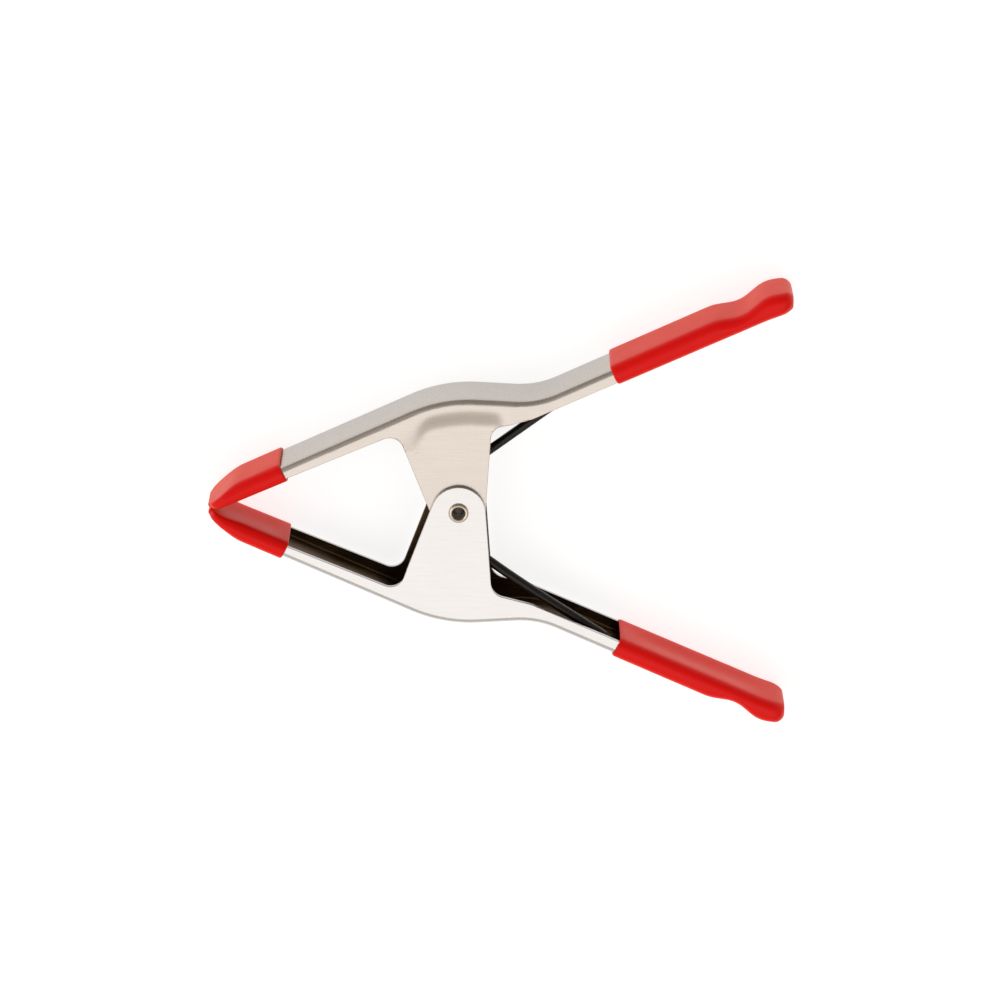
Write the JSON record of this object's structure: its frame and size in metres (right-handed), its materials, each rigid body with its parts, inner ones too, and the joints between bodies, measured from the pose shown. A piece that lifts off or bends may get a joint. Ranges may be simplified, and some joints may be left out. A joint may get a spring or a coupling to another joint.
{
  "type": "spring clamp",
  "caption": "Hand spring clamp with two pressed steel channel arms, hollow rivet pivot, torsion spring and dipped vinyl tips and grips.",
  "frame": {"origin": "middle of the hollow rivet, on its axis; the clamp lies on its side", "axes": "+Z along the rivet, +X from the jaws towards the handles, +Y towards the inner arm's crown"},
  "size_m": [0.1641, 0.1287, 0.019],
  "materials": {
    "plated_steel": "bright nickel plating on pressed sheet",
    "rivet_steel": "satin, rolled over at both ends",
    "spring_wire": "oil-blackened spring steel",
    "red_vinyl": "dipped PVC, smooth and glossy"
  },
  "bodies": {
    "outer_arm_body": {"outer_arm": "plated_steel", "lower_jaw_tip": "red_vinyl", "lower_grip": "red_vinyl", "pivot_rivet": "rivet_steel", "torsion_spring": "spring_wire"},
    "inner_arm_body": {"inner_arm": "plated_steel", "upper_jaw_tip": "red_vinyl", "upper_grip": "red_vinyl"}
  },
  "joints": [
    {"name": "jaw_pivot", "type": "hinge", "parent": "outer_arm_body", "child": "inner_arm_body", "pos_m": [0, 0, 0], "axis": [0, 0, -1], "range_deg": [0, 42], "stiffness_Nm_per_rad": 4, "springref_deg": -51.57, "deforming": ["torsion_spring"]}
  ]
}
